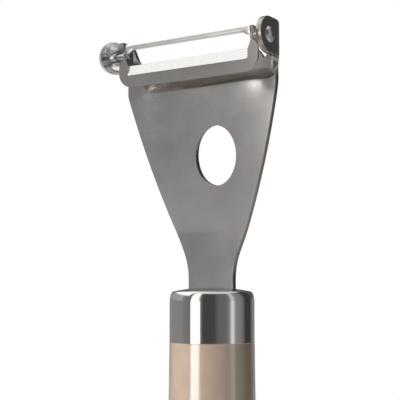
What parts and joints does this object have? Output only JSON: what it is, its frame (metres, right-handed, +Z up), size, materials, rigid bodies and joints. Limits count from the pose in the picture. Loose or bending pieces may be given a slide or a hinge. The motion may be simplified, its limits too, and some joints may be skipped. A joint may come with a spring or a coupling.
{
  "type": "vegetable peeler",
  "caption": "Vegetable peeler with a crosswise swivelling blade between two bent ears, an eye scoop beside it and a round handle in line with the plate.",
  "frame": {"origin": "centre of the end cap's flat bottom, on the handle's axis", "axes": "+Z up the handle towards the head, -Y the side that the blade and the ears face, X along the blade's pivots with the eye scoop on -X"},
  "size_m": [0.0545, 0.0283, 0.1892],
  "materials": {
    "grip": "glossy",
    "polished_steel": "polished",
    "plate_steel": "satin",
    "pin_steel": "polished",
    "blade_steel": "satin"
  },
  "bodies": {
    "frame": {"handle_grip": "grip", "end_cap": "polished_steel", "ferrule": "polished_steel", "tang_pin": "pin_steel", "head_plate": "plate_steel", "right_pivot_pin": "pin_steel", "left_pivot_pin": "pin_steel"},
    "blade": {"blade": "blade_steel"}
  },
  "joints": [
    {"name": "blade_swivel", "type": "hinge", "parent": "frame", "child": "blade", "pos_m": [0, -0.01152, 0.1845], "axis": [1, 0, 0], "range_deg": [-30, 30]}
  ]
}
